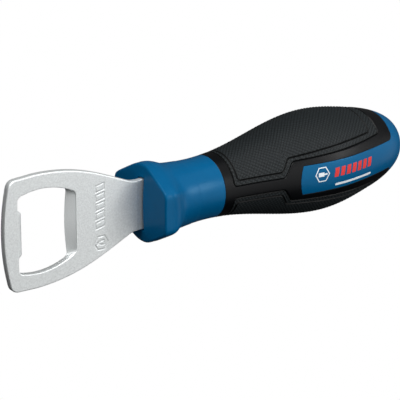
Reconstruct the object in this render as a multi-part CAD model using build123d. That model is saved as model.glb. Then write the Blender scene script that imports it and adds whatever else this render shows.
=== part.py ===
from build123d import *
import os

# Hand bottle opener: a stamped steel blade moulded into a hard plastic handle
# with an overmoulded soft grip. It is drawn in tool axes: +X runs from the
# handle's front face to its rear end, the handle's axis is Y = Z = 0, and Z is
# the blade's normal. to_row_frame moves each finished piece to the part's own
# frame, which lies on the floor with its origin under the middle of its box.

# Handle: hard plastic core
handle_length = 119.0        # front face to rear end
belly_radius = 19.0          # widest place of the handle
belly_x = 79.0
waist_radius = 11.15         # narrowest place, behind the bolster
waist_x = 23.5
flare_radius = belly_radius - 5.0    # between waist and belly
flare_x = 47.0
rump_radius = belly_radius - 2.8     # behind the belly, placed from the rear end
rump_setback = 20.6
tail_radius = 12.2
tail_setback = 7.6
crown_radius = 7.4           # where the rear end turns into its blunt crown
crown_setback = 1.5

# Bolster: eight-sided finger stop in front of the waist
bolster_length = 11.6
bolster_rear_radius = 11.9   # where its rounded shoulder meets the waist
bolster_half_height = 14.4   # half size along Y
bolster_half_depth = 15.2    # half size along Z
bolster_top_flat = 5.2       # width of the short flats on +Y and -Y
bolster_side_flat = 14.4     # width of the long flats on +Z and -Z
bolster_corner_radius = 2.0
bolster_edge_radius = 0.6
shoulder_start = 5.4         # where its sides begin to round off
shoulder_radius = 17.0
face_crown = 1.0             # how far the front face falls back at +Y and -Y

# Blade: one flat stamping with its tang inside the handle
plate_thickness = 2.5
plate_offset = 0.25          # blade's middle plane above the handle's axis
blade_reach = 55.0           # front face of the handle to the blade's tip
blade_half_width = 19.95
widest_from_tip = 12.0
tip_corner_setback = 2.6     # how far the tip's arc falls back at its corners
tip_corner_inset = 0.45
tip_corner_radius = 3.2
neck_half_width = 9.15
flank_half_width = 17.5      # half-way from the widest place to the end of the flare
flare_end_half_width = 10.3
flare_end_x = -6.4           # where the flank runs into the neck
flare_slope = 0.45
neck_fillet = 6.0
edge_radius = 0.4

# Window in the blade, which takes the rim of a crown cap
window_tip_rim = 5.4         # steel left at the tip
window_length = 20.2         # along X, at the back face
window_side_rim = 5.25       # steel left beside the window's widest place
window_tip_inset = 1.4       # the tip side is narrower than the widest place by this
window_handle_inset = 3.9    # the handle side is narrower by this
window_widest = 7.6          # from the window's tip side
window_corner_radius = 1.7
lever_bevel = 2.4            # slope of the handle side wall, front to back

# Lip on the tip side of the window, which hooks under the cap
lip_reach = 2.2
lip_half_width = 9.4
lip_end_taper = 2.2
lip_thickness = 1.3

# Tang, hidden in the core
tang_length = 62.0
tang_half_width = 7.0
tang_step = 6.0              # neck width is kept this far into the handle
tang_thickness = 2.1
relief_x = -1.8              # from here on the plate is coined down to the tang's thickness
anchor_radius = 3.0
anchor_count = 3
anchor_first = 18.0
anchor_pitch = 16.0
entry_clearance = 0.55       # moulded recess round the blade where it enters
entry_depth = 2.5

# Soft grip and its textured pads
sleeve_wall = 2.0
sleeve_front = 29.1
sleeve_rear_setback = 10.8   # from the handle's rear end to the rear of the grip
sleeve_rear_corner = 2.4
pad_wall = 1.2
pad_front = 33.0
pad_rear_gap = 7.6           # smooth rim behind each pad
pad_front_half_gap = 2.2     # from the middle line to the pad's edge in front
pad_step_x = 53.2            # where the pad's edge begins to step outwards
pad_step_run = 0.7           # how far back the step goes for each millimetre outwards
pad_rim = 2.1                # smooth rim between a pad and the tongue
pad_corner = 1.2

# Tongue: the core showing through a window in the grip on +Z and -Z
tongue_front = 59.4
tongue_front_bulge = 1.4
tongue_front_half_width = 5.4
tongue_rear_half_width = 7.3
tongue_corner = 0.8

# Printed marks on the +Z tongue
ink_thickness = 0.05
badge_x = 68.2
badge_y = 1.2
badge_radius = 3.1
badge_line = 0.5
stripes_start = 73.7         # a gap between two stripes falls on the belly
stripes_count = 7
stripe_width = 1.9
stripe_pitch = 2.9
stripe_height = 3.4
stripe_slant = 0.6
stripes_y = 1.0
line_start = 74.2
line_length = 19.2
line_width = 0.9
line_y = -3.6

overshoot = 1.0              # how far a cutting solid runs past what it cuts

# Places worked out from the sizes above
row_shift = ((blade_reach - handle_length) / 2, 0, belly_radius)
plate_back = plate_offset - plate_thickness / 2
tip_corner_half_width = blade_half_width - tip_corner_inset
window_tip_x = window_tip_rim - blade_reach


def to_row_frame(piece):
    """Moves a finished piece from the tool axes to the part's frame."""
    return Pos(*row_shift) * piece


def handle_solid(inset=0.0):
    """The handle behind the bolster, turned about X, with its skin moved in by inset."""
    start = (bolster_length - overshoot, bolster_rear_radius - inset)
    skin = Spline(
        start,
        (waist_x, waist_radius - inset),
        (flare_x, flare_radius - inset),
        (belly_x, belly_radius - inset),
        (handle_length - rump_setback, rump_radius - inset),
        (handle_length - tail_setback, tail_radius - inset),
        (handle_length - crown_setback, crown_radius - inset),
        (handle_length, 0),
        tangents=((1, -0.08), (0, -1)),
    )
    closing = Polyline((handle_length, 0), (start[0], 0), start)
    return revolve(make_face(skin + closing), Axis.X)


def skin_shell(depth):
    """The outer layer of the handle, from its skin down to depth."""
    return handle_solid() - handle_solid(depth)


def bolster_outline():
    """Eight-sided outline across the handle's axis, with rounded corners."""
    top = bolster_top_flat / 2
    side = bolster_side_flat / 2
    high = bolster_half_height
    deep = bolster_half_depth
    corners = [(high, top), (side, deep), (-side, deep), (-high, top)]
    corners += [(y, -z) for y, z in reversed(corners)]
    across = Plane(origin=(0, 0, 0), x_dir=(0, 1, 0), z_dir=(1, 0, 0))
    outline = across * Polygon(*corners, align=None)
    return fillet(outline.vertices(), bolster_corner_radius)


def bolster():
    """Finger stop: an octagonal prism inside a barrel, with a gently crowned front face."""
    prism = extrude(bolster_outline(), bolster_length)
    foot = (bolster_length, bolster_rear_radius)
    barrel_edge = Line((0, shoulder_radius), (shoulder_start, shoulder_radius))
    barrel_edge += Spline((shoulder_start, shoulder_radius), foot, tangents=((1, 0), (0.35, -1)))
    barrel_edge += Polyline(foot, (bolster_length, 0), (0, 0), (0, shoulder_radius))
    barrel = revolve(make_face(barrel_edge), Axis.X)
    crown_arc = ThreePointArc((face_crown, -bolster_half_height), (0, 0), (face_crown, bolster_half_height))
    behind = Polyline(
        (face_crown, bolster_half_height),
        (bolster_length + overshoot, bolster_half_height + overshoot),
        (bolster_length + overshoot, -bolster_half_height - overshoot),
        (face_crown, -bolster_half_height),
    )
    crown = extrude(make_face(crown_arc + behind), bolster_half_depth + overshoot, both=True)
    block = prism & barrel & crown
    front_edges = block.edges().filter_by(lambda edge: edge.bounding_box().max.X < face_crown + 0.05)
    return fillet(front_edges, bolster_edge_radius)


def plate(outline):
    """A flat outline as thick as the blade, at the blade's height."""
    return extrude(Pos(0, 0, plate_back) * outline, plate_thickness)


def flank():
    """One side of the blade, from the tip's corner along the flare and the neck."""
    widest_x = widest_from_tip - blade_reach
    neck_x = flare_end_x + (flare_end_half_width - neck_half_width) / flare_slope
    side = Line((tip_corner_setback - blade_reach, tip_corner_half_width), (widest_x, blade_half_width))
    side += Spline(
        (widest_x, blade_half_width),
        ((widest_x + flare_end_x) / 2, flank_half_width),
        (flare_end_x, flare_end_half_width),
        tangents=((1, 0), (1, -flare_slope)),
    )
    side += Polyline(
        (flare_end_x, flare_end_half_width),
        (neck_x, neck_half_width),
        (tang_step, neck_half_width),
    )
    return side, neck_x


def head():
    """The blade in front of the handle and its neck, with rounded edges and no window yet."""
    corner_x = tip_corner_setback - blade_reach
    tip = ThreePointArc(
        (corner_x, -tip_corner_half_width), (-blade_reach, 0), (corner_x, tip_corner_half_width)
    )
    side, neck_x = flank()
    back = Line((tang_step, neck_half_width), (tang_step, -neck_half_width))
    outline = make_face(tip + side + back + mirror(side, Plane.XZ))
    tip_corners = [v for v in outline.vertices() if abs(v.X - corner_x) < 0.01]
    outline = fillet(tip_corners, tip_corner_radius)
    neck_corners = [v for v in outline.vertices() if abs(v.X - neck_x) < 0.01]
    outline = fillet(neck_corners, neck_fillet)
    body = plate(outline)
    rim = [e for e in body.faces().filter_by(Axis.Z).edges() if e.center().X < tang_step - 0.01]
    return fillet(rim, edge_radius)


def window_cut():
    """What is stamped out of the blade: the window, less the sloping wall on its handle side."""
    half = blade_half_width - window_side_rim
    handle_x = window_tip_x + window_length + lever_bevel
    upper = ThreePointArc(
        (window_tip_x, half - window_tip_inset),
        (window_tip_x + window_widest, half),
        (handle_x, half - window_handle_inset),
    )
    ends = Line((window_tip_x, window_tip_inset - half), (window_tip_x, half - window_tip_inset))
    ends += Line((handle_x, window_handle_inset - half), (handle_x, half - window_handle_inset))
    outline = make_face(upper + mirror(upper, Plane.XZ) + ends)
    outline = fillet(outline.vertices(), window_corner_radius)
    through = extrude(Pos(0, 0, plate_back) * outline, plate_thickness)
    slope = Polyline(
        (handle_x - lever_bevel, plate_back),
        (handle_x, plate_back + plate_thickness),
        (handle_x, plate_back),
        (handle_x - lever_bevel, plate_back),
    )
    wall = extrude(make_face(Plane.XZ * slope), blade_half_width, both=True)
    return through - wall


def lip():
    """Thin tongue of steel at the back face that reaches into the window from the tip side."""
    end = lip_half_width - lip_end_taper
    outline = Polyline(
        (window_tip_x - overshoot, -lip_half_width),
        (window_tip_x, -lip_half_width),
        (window_tip_x + lip_reach, -end),
        (window_tip_x + lip_reach, end),
        (window_tip_x, lip_half_width),
        (window_tip_x - overshoot, lip_half_width),
        (window_tip_x - overshoot, -lip_half_width),
    )
    return extrude(Pos(0, 0, plate_back) * make_face(outline), lip_thickness)


def tang():
    """Narrower end of the blade with anchor holes, all of it inside the core."""
    outline = Pos(tang_step, 0) * Rectangle(
        tang_length - tang_step, 2 * tang_half_width, align=(Align.MIN, Align.CENTER)
    )
    for index in range(anchor_count):
        outline -= Pos(anchor_first + index * anchor_pitch, 0) * Circle(anchor_radius)
    low = plate_offset - tang_thickness / 2
    return extrude(Pos(0, 0, low) * outline, tang_thickness)


def tang_relief():
    """What is coined off both faces of the neck, from just in front of the handle on."""
    length = tang_step - relief_x
    around = Box(length, 4 * neck_half_width, 2 * plate_thickness)
    kept = Box(length, 4 * neck_half_width, tang_thickness)
    return Pos(relief_x + length / 2, 0, plate_offset) * (around - kept)


def opener_blade():
    """The whole stamping."""
    return head() - window_cut() - tang_relief() + lip() + tang()


def entry_recess():
    """Shallow moulded gap round the neck where it enters the handle."""
    gap = 2 * entry_clearance
    return Pos(entry_depth / 2, 0, plate_offset) * Box(
        entry_depth + 2 * face_crown, 2 * neck_half_width + gap, plate_thickness + gap
    )


def tongue_outline():
    """Everything behind the grip: the tongue, widening to the rear, and the end cap."""
    rear_x = handle_length - sleeve_rear_setback
    front = ThreePointArc(
        (tongue_front + tongue_front_bulge, -tongue_front_half_width),
        (tongue_front, 0),
        (tongue_front + tongue_front_bulge, tongue_front_half_width),
    )
    side = Polyline(
        (tongue_front + tongue_front_bulge, tongue_front_half_width),
        (rear_x, tongue_rear_half_width),
        (rear_x, 2 * belly_radius),
        (2 * handle_length, 2 * belly_radius),
        (2 * handle_length, 0),
    )
    outline = make_face(front + side + mirror(side, Plane.XZ))
    inner = [v for v in outline.vertices() if abs(v.X - rear_x) < 0.01 and abs(v.Y) < belly_radius]
    outline = fillet(inner, sleeve_rear_corner)
    front_corners = [v for v in outline.vertices() if v.X < tongue_front + tongue_front_bulge + 0.01]
    return fillet(front_corners, tongue_corner)


def through_handle(outline):
    """An outline in the XY plane carried right through the handle along Z."""
    return extrude(outline, 2 * belly_radius, both=True)


def sleeve_region():
    """The layer of the handle that is soft grip, pads included."""
    grip_length = handle_length - sleeve_front
    slab = Pos(sleeve_front, 0, 0) * Box(
        grip_length, 4 * belly_radius, 4 * belly_radius, align=(Align.MIN, Align.CENTER, Align.CENTER)
    )
    return (skin_shell(sleeve_wall) & slab) - through_handle(tongue_outline())


def pad_outline():
    """Edge of the +Y pad: close to the middle line in front, then beside the tongue."""
    rear_x = handle_length - sleeve_rear_setback - pad_rear_gap
    spread = (tongue_rear_half_width - tongue_front_half_width) / (
        handle_length - sleeve_rear_setback - tongue_front - tongue_front_bulge
    )
    step_y = tongue_front_half_width + pad_rim
    step_x = pad_step_x + (step_y - pad_front_half_gap) * pad_step_run
    rear_y = step_y + (rear_x - step_x) * spread
    outline = make_face(Polyline(
        (pad_front, pad_front_half_gap),
        (pad_step_x, pad_front_half_gap),
        (step_x, step_y),
        (rear_x, rear_y),
        (rear_x, 2 * belly_radius),
        (pad_front, 2 * belly_radius),
        (pad_front, pad_front_half_gap),
    ))
    corners = [v for v in outline.vertices() if v.Y < belly_radius]
    return fillet(corners, pad_corner)


def grip_pad(side):
    """Textured pad, let into the grip on the +Y side (side = 1) or the -Y side (side = -1)."""
    pad = skin_shell(pad_wall) & through_handle(pad_outline())
    return pad if side > 0 else mirror(pad, Plane.XZ)


def handle_core():
    """Hard plastic core: bolster, waist, tongue and end cap, moulded round the tang."""
    body = handle_solid() + bolster()
    return body - sleeve_region() - opener_blade() - entry_recess()


def printed(outline):
    """A flat outline printed on the +Z side of the handle, as thick as a film of ink."""
    above = extrude(outline, 2 * belly_radius)
    return (above & handle_solid(-ink_thickness)) - handle_solid()


def badge_outline():
    """Six-sided ring with a plain bottle in it."""
    ring = RegularPolygon(badge_radius, 6) - RegularPolygon(badge_radius - badge_line, 6)
    bottle = Rectangle(0.6 * badge_radius, 0.35 * badge_radius)
    bottle += Pos(0.45 * badge_radius, 0) * Rectangle(0.4 * badge_radius, 0.15 * badge_radius)
    return Pos(badge_x, badge_y) * (ring + bottle)


def stripes_outline():
    """Row of slanting stripes."""
    half = stripe_height / 2
    lean = stripe_slant / 2
    stripe = make_face(Polyline(
        (-lean, -half),
        (stripe_width - lean, -half),
        (stripe_width + lean, half),
        (lean, half),
        (-lean, -half),
    ))
    row = Pos(stripes_start, stripes_y) * stripe
    for index in range(1, stripes_count):
        row += Pos(stripes_start + index * stripe_pitch, stripes_y) * stripe
    return row


def line_outline():
    """Thin line under the stripes."""
    return Pos(line_start + line_length / 2, line_y) * SlotOverall(line_length, line_width)


def write(name, piece):
    """Writes one piece as parts/NAME.step."""
    export_step(to_row_frame(piece), f"parts/{name}.step")


os.makedirs("parts", exist_ok=True)
write("opener_blade", opener_blade())
write("handle_core", handle_core())
write("grip_sleeve", sleeve_region() - grip_pad(1) - grip_pad(-1))
write("grip_pad_left", grip_pad(1))
write("grip_pad_right", grip_pad(-1))
write("badge_print", printed(badge_outline()))
write("stripe_print", printed(stripes_outline()))
write("line_print", printed(line_outline()))
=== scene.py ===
import math

import bmesh
import bpy
import numpy as np
from bpy.props import FloatProperty, FloatVectorProperty, PointerProperty
from mathutils import Matrix, Vector


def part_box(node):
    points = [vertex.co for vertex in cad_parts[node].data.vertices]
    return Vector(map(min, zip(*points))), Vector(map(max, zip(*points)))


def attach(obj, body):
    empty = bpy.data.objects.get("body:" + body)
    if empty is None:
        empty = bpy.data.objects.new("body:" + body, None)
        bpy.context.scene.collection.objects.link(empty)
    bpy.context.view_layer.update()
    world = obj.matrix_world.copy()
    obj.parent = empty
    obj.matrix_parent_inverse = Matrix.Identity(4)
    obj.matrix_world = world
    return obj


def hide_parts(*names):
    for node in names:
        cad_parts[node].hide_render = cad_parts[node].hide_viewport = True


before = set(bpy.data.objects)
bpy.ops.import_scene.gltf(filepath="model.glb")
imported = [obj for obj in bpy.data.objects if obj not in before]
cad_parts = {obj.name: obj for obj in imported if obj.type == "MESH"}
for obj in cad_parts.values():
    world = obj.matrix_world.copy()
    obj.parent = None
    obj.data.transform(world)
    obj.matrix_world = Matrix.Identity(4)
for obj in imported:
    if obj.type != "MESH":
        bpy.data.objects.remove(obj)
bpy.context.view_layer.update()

bl_info = {
    "name": "Soft-grip bottle opener",
    "version": (1, 0, 0),
    "blender": (4, 5, 0),
    "location": "View3D > Sidebar > Opener",
    "description": "Builds the visible pieces of a hand bottle opener round its CAD frame",
    "category": "Object",
}

# Shapes are worked out in millimetres in tool axes: x runs from the handle's
# front face to its rear end, the handle's axis is y = z = 0, and z is the
# blade's normal. Angles round the axis start at +z and grow towards +y.

MM = 0.001
QUARTER = math.pi / 2


def box_mm(node):
    """Lowest and highest corner of a CAD node, in millimetres."""
    low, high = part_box(node)
    return np.array(low) / MM, np.array(high) / MM


CORE_LOW, CORE_HIGH = box_mm("handle_core")
BLADE_LOW, BLADE_HIGH = box_mm("opener_blade")
SLEEVE_LOW, SLEEVE_HIGH = box_mm("grip_sleeve")
PAD_LOW, PAD_HIGH = box_mm("grip_pad_left")
FACE_X = CORE_LOW[0]
AXIS_Z = (CORE_LOW[2] + CORE_HIGH[2]) / 2

# points nearer than MERGE_DISTANCE metres are merged in a mesh; walled takes points
# as one that agree to WELD_STEPS steps a millimetre; TINY millimetres is no distance
MERGE_DISTANCE = 2e-6
WELD_STEPS = 1e4
TINY = 1e-6


def linear(red, green, blue):
    """Linear colour of an eight-bit display colour."""
    value = np.array([red, green, blue]) / 255
    low = value / 12.92
    high = ((value + 0.055) / 1.055) ** 2.4
    return tuple(np.where(value <= 0.04045, low, high).tolist())


# ---------------------------------------------------------------- sizes


def length_value(name, default, description):
    """A size property in metres, from a default in millimetres."""
    return FloatProperty(
        name=name, default=float(default) * MM, min=0.0, unit="LENGTH",
        subtype="DISTANCE", precision=5, description=description,
    )


def colour_value(name, default, description):
    """A colour property, from an eight-bit display colour."""
    return FloatVectorProperty(
        name=name, default=linear(*default), min=0.0, max=1.0,
        subtype="COLOR", description=description,
    )


def power_value(name, default, description):
    """A light's power property, in watts."""
    return FloatProperty(
        name=name, default=default, min=0.0, unit="POWER", description=description
    )


class OpenerHandleSizes(bpy.types.PropertyGroup):
    """Sizes of the handle, all measured from its front face."""

    length: length_value(
        "Length", CORE_HIGH[0] - FACE_X, "Front face of the bolster to the rear end"
    )
    belly_radius: length_value(
        "Belly radius", (CORE_HIGH[2] - CORE_LOW[2]) / 2, "Radius at the widest place"
    )
    waist_radius: length_value("Waist radius", 11.15, "Radius behind the bolster")
    sleeve_front: length_value(
        "Grip front", SLEEVE_LOW[0] - FACE_X, "Where the soft grip begins"
    )
    sleeve_rear: length_value(
        "Grip rear", SLEEVE_HIGH[0] - FACE_X, "Where the soft grip ends"
    )
    sleeve_wall: length_value("Grip wall", 2.0, "Thickness of the soft grip")
    pad_front: length_value("Pad front", PAD_LOW[0] - FACE_X, "Front edge of the pads")
    pad_rear: length_value("Pad rear", PAD_HIGH[0] - FACE_X, "Rear edge of the pads")
    pad_wall: length_value("Pad wall", 1.1, "Thickness of the textured pads")
    groove_depth: length_value("Groove depth", 0.38, "Depth of the grooves round the pads")
    groove_width: length_value("Groove width", 0.62, "Width of the grooves round the pads")
    knurl_pitch: length_value("Texture pitch", 1.54, "Distance between texture points")
    knurl_depth: length_value("Texture depth", 0.22, "Depth between texture points")


class OpenerBladeSizes(bpy.types.PropertyGroup):
    """Sizes of the stamped blade."""

    reach: length_value("Reach", FACE_X - BLADE_LOW[0], "Handle face to the blade's tip")
    half_width: length_value("Half width", BLADE_HIGH[1], "Half of the widest place")
    thickness: length_value(
        "Thickness", BLADE_HIGH[2] - BLADE_LOW[2], "Thickness of the plate"
    )
    middle: FloatProperty(
        name="Middle plane", default=float((BLADE_HIGH[2] + BLADE_LOW[2]) / 2 - AXIS_Z) * MM,
        unit="LENGTH", subtype="DISTANCE", precision=5,
        description="Height of the plate's middle above the handle's axis",
    )
    edge_radius: length_value("Edge radius", 0.4, "Rounding of the outer edges")
    window_edge: length_value("Window edge", 0.25, "Rounding of the window's edges")
    stamp_depth: length_value("Stamp depth", 0.13, "Depth of the stamped marks")


class OpenerColours(bpy.types.PropertyGroup):
    """Base colours of the finishes."""

    blue: colour_value("Hard plastic", (0, 84, 129), "Colour of the hard plastic")
    black: colour_value("Soft grip", (5, 6, 8), "Colour of the smooth soft grip")
    textured: colour_value("Textured grip", (4, 6, 7), "Colour of the textured pads")
    # painted highlight: the tops of the texture points take this lighter colour, standing in for
    # light that catches them
    crest: colour_value("Texture points", (33, 38, 40), "Colour of the texture points")
    steel: colour_value("Steel", (234, 237, 237), "Colour of the tumbled steel")
    white_ink: colour_value("White ink", (226, 232, 236), "Colour of the white print")
    red_ink: colour_value("Red ink", (214, 42, 38), "Colour of the red print")


class OpenerStage(bpy.types.PropertyGroup):
    """Floor, lights and camera."""

    floor_size: FloatProperty(
        name="Floor size", default=6.0, min=0.5, unit="LENGTH",
        description="Side of the square floor",
    )
    side_power: power_value("Side light", 4.6, "Power of the soft light beside the left pad")
    top_power: power_value("Top light", 1.6, "Power of the large light overhead")
    strobe_power: power_value("Strobe", 2.0, "Power of the light high behind the handle")
    front_power: power_value("Front light", 0.8, "Power of the small light before the tip")
    rear_power: power_value("Rear light", 0.5, "Power of the low light behind the handle")
    lens: FloatProperty(
        name="Lens", default=149.0, min=10.0, unit="CAMERA", description="Focal length"
    )
    distance: FloatProperty(
        name="Distance", default=0.5852, min=0.05, unit="LENGTH",
        description="Camera to the point it looks at",
    )
    azimuth: FloatProperty(
        name="Azimuth", default=math.radians(-121.2), subtype="ANGLE",
        description="Direction of the camera round the object",
    )
    elevation: FloatProperty(
        name="Elevation", default=math.radians(47.26), subtype="ANGLE",
        description="Camera height above the horizon",
    )
    roll: FloatProperty(
        name="Roll", default=math.radians(-114.6), subtype="ANGLE",
        description="Turn of the camera about its line of sight",
    )
    aim: FloatVectorProperty(
        name="Aim", default=(-0.0054, -0.0046, 0.019), subtype="TRANSLATION",
        unit="LENGTH", description="Point that the camera looks at",
    )


# ---------------------------------------------------------------- curves and grids


def clamped_curve(stations, start, end, count):
    """Smooth curve through stations: one cubic of the chord length for each span,
    with equal slope and bend where two spans meet and the given end directions."""
    point = np.array(stations, float)
    span = np.linalg.norm(np.diff(point, axis=0), axis=1)
    reached = np.concatenate([[0], np.cumsum(span)])
    last = len(point) - 1
    inner = np.arange(1, last)
    chord = np.diff(point, axis=0) / span[:, None]
    system = np.zeros((last + 1, last + 1))
    right = np.zeros((last + 1, 2))
    system[0, 0] = system[last, last] = 1
    right[0] = np.array(start) / np.linalg.norm(start)
    right[last] = np.array(end) / np.linalg.norm(end)
    system[inner, inner - 1] = span[inner]
    system[inner, inner] = 2 * (span[inner - 1] + span[inner])
    system[inner, inner + 1] = span[inner - 1]
    right[inner] = 3 * (span[inner, None] * chord[inner - 1] + span[inner - 1, None] * chord[inner])
    slope = np.linalg.solve(system, right)
    place = np.linspace(0, reached[-1], count)
    k = np.clip(np.searchsorted(reached, place, side="right") - 1, 0, last - 1)
    u = ((place - reached[k]) / span[k])[:, None]
    h = span[k][:, None]
    return (
        (1 + 2 * u) * (1 - u) ** 2 * point[k]
        + u * (1 - u) ** 2 * h * slope[k]
        + u**2 * (3 - 2 * u) * point[k + 1]
        + u**2 * (u - 1) * h * slope[k + 1]
    )


def graded(start, stop, step, fine, ramp, multiple=1):
    """Places from start to stop: fine apart at both ends, growing to step apart
    over the length ramp, with a number of cells that is a multiple."""
    place = np.linspace(start, stop, 6001)
    from_end = np.minimum(place - start, stop - place)
    spacing = fine + (step - fine) * np.clip(from_end / ramp, 0, 1)
    cells = np.diff(place) / ((spacing[1:] + spacing[:-1]) / 2)
    passed = np.concatenate([[0], np.cumsum(cells)])
    count = multiple * math.ceil(passed[-1] / multiple)
    return np.interp(np.linspace(0, passed[-1], count + 1), passed, place)


def joined(*runs):
    """Runs of places end to end, each joint kept once."""
    return np.concatenate([runs[0]] + [run[1:] for run in runs[1:]])


def running_length(line):
    """Length along a line up to each of its points."""
    return np.concatenate([[0], np.cumsum(np.linalg.norm(np.diff(line[:, :2], axis=0), axis=1))])


def along(line, fractions):
    """Rows of line at the given fractions of its length, every column interpolated."""
    reached = running_length(line)
    place = np.asarray(fractions) * reached[-1]
    return np.stack([np.interp(place, reached, column) for column in line.T], axis=1)


def softened(line, width, closed):
    """Rounds the corners of a line: each point becomes the mean of the line over a
    length of width about it, so a corner turns into a curve that long."""
    spacing = 0.05
    count = 2 * round(running_length(line)[-1] / spacing / 2)
    line = along(line, np.linspace(0, 1, count + 1))
    reach = round(width / spacing / 2)
    if closed:
        longer = np.concatenate([line[-reach - 1:-1], line, line[1:reach + 1]])
    else:
        before = 2 * line[0] - line[reach:0:-1]
        after = 2 * line[-1] - line[-2:-reach - 2:-1]
        longer = np.concatenate([before, line, after])
    weight = np.ones(2 * reach + 1) / (2 * reach + 1)
    return np.stack([np.convolve(column, weight, "valid") for column in longer.T], axis=1)


def grid_quads(rows, columns, kept=None):
    """Corners of the cells of a grid, row step first, so that a cell faces along
    (row direction) x (column direction)."""
    corner = np.arange(rows - 1)[:, None] * columns + np.arange(columns - 1)
    corner = corner[kept] if kept is not None else corner.reshape(-1)
    return np.stack([corner, corner + columns, corner + columns + 1, corner + 1], axis=1)


def distance_to(points, border):
    """Distance from each point to the nearest of the border points."""
    flat = points.reshape(-1, 3)
    parts = np.array_split(flat, max(1, len(flat) * len(border) // 4_000_000))
    border_square = (border**2).sum(1)
    nearest = [
        ((part**2).sum(1)[:, None] + border_square - 2 * part @ border.T).min(1) for part in parts
    ]
    return np.sqrt(np.clip(np.concatenate(nearest), 0, None)).reshape(points.shape[:-1])


def valley(distance, depth, width):
    """Depth of a V-groove at a distance from its bottom line."""
    return -depth * np.clip(1 - 2 * distance / width, 0, 1)


def faces_of(quads):
    """Faces from cells: a cell with two corners in one place becomes a triangle."""
    same = quads == np.roll(quads, -1, axis=1)
    doubles = same.sum(1)
    faces = quads[doubles == 0].tolist()
    for k in range(4):
        rest = [(k + step) % 4 for step in (1, 2, 3)]
        faces += quads[same[:, k] & (doubles == 1)][:, rest].tolist()
    return faces


def walled(outer, inner, quads):
    """Closed shell: the outer surface, the same cells turned round on the inner
    surface, and a wall along each edge that has a cell on one side only."""
    used, place = np.unique(quads, return_inverse=True)
    outer, inner, quads = outer[used], inner[used], place.reshape(-1, 4)
    steps = np.round(outer * WELD_STEPS).astype(np.int64)
    _, first, place = np.unique(steps, axis=0, return_index=True, return_inverse=True)
    quads = place.reshape(-1)[quads]
    count = len(first)
    side = np.concatenate([quads[:, [k, (k + 1) % 4]] for k in range(4)])
    side = side[side[:, 0] != side[:, 1]]
    free = side[~np.isin(side[:, 0] * count + side[:, 1], side[:, 1] * count + side[:, 0])]
    wall = np.stack([free[:, 1], free[:, 0], free[:, 0] + count, free[:, 1] + count], axis=1)
    points = np.concatenate([outer[first], inner[first]])
    return points, faces_of(np.concatenate([quads, quads[:, ::-1] + count, wall]))


def lidded(outer, inner, stride):
    """Closed slab: a fine outer grid, an inner grid that keeps every stride-th row
    and column, and one wall face between each pair of kept places on the border."""
    rows, columns = outer.shape[:2]
    low = inner[::stride, ::stride]
    low_rows, low_columns = low.shape[:2]
    base = rows * columns
    top = grid_quads(rows, columns)
    bottom = grid_quads(low_rows, low_columns)[:, ::-1] + base
    fine = np.arange(base).reshape(rows, columns)
    coarse = base + np.arange(low_rows * low_columns).reshape(low_rows, low_columns)
    faces = top.tolist() + bottom.tolist()
    borders = (
        (fine[:, 0], coarse[:, 0]),
        (fine[-1], coarse[-1]),
        (fine[::-1, -1], coarse[::-1, -1]),
        (fine[0, ::-1], coarse[0, ::-1]),
    )
    for fine_run, coarse_run in borders:
        for k in range(len(coarse_run) - 1):
            edge = fine_run[k * stride:(k + 1) * stride + 1][::-1]
            faces.append(edge.tolist() + coarse_run[k:k + 2].tolist())
    return np.concatenate([outer.reshape(-1, 3), low.reshape(-1, 3)]), faces


def add_piece(name, points, faces, material, sharp, marks=None):
    """Makes an object from points in millimetres, places it in the frame, merges
    its seams and poles, shades it smooth and leaves edges above sharp degrees crisp."""
    mesh = bpy.data.meshes.new(name)
    mesh.from_pydata((points + (FACE_X, 0, AXIS_Z)) * MM, [], faces)
    for mark, values in (marks or {}).items():
        data = mesh.attributes.new(mark, "FLOAT", "POINT").data
        data.foreach_set("value", np.ascontiguousarray(values, dtype=np.float32))
    work = bmesh.new()
    work.from_mesh(mesh)
    bmesh.ops.remove_doubles(work, verts=work.verts, dist=MERGE_DISTANCE)
    work.to_mesh(mesh)
    work.free()
    mesh.shade_smooth()
    mesh.set_sharp_from_angle(angle=math.radians(sharp))
    mesh.materials.append(material)
    piece = bpy.data.objects.new(name, mesh)
    bpy.context.scene.collection.objects.link(piece)
    return piece


# ---------------------------------------------------------------- handle


BOLSTER_LENGTH = 11.6
BOLSTER_FOOT_RADIUS = 11.9
SEAM_DEPTH = 0.08
SEAM_WIDTH = 0.3

# stations of the skin, as x and radius; the last three count x back from the rear end
WAIST_X = 23.5
SWELL = (47.0, 14.0)
BELLY_X = 79.0
RUMP = (20.6, 16.2)
CAP_TURN = (7.6, 12.2)
CAP_CORNER = (1.5, 7.4)
SKIN_START = (1, -0.08)
SKIN_POINTS = 6000

# widest cell, finest cell and length of the change between them, for graded: along
# the handle in millimetres, and across it as shares of the stretch
ALONG_GRIP = (0.5, 0.06, 1.0)
ALONG_TONGUE = (0.6, 0.06, 1.0)
ALONG_WAIST = (0.7, 0.05, 2.0)
ALONG_PAD_FRONT = (0.22, 0.08, 0.5)
ALONG_PAD = (0.24, 0.08, 0.6)
ACROSS_RIM = (0.09, 0.03, 0.3)
ACROSS_TONGUE = (0.09, 0.01, 0.3)
ACROSS_SIDE = (0.04, 0.004, 0.2)
ACROSS_PAD_RIM = (0.11, 0.05, 0.3)
ACROSS_PAD = (0.0135, 0.005, 0.05)


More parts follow.
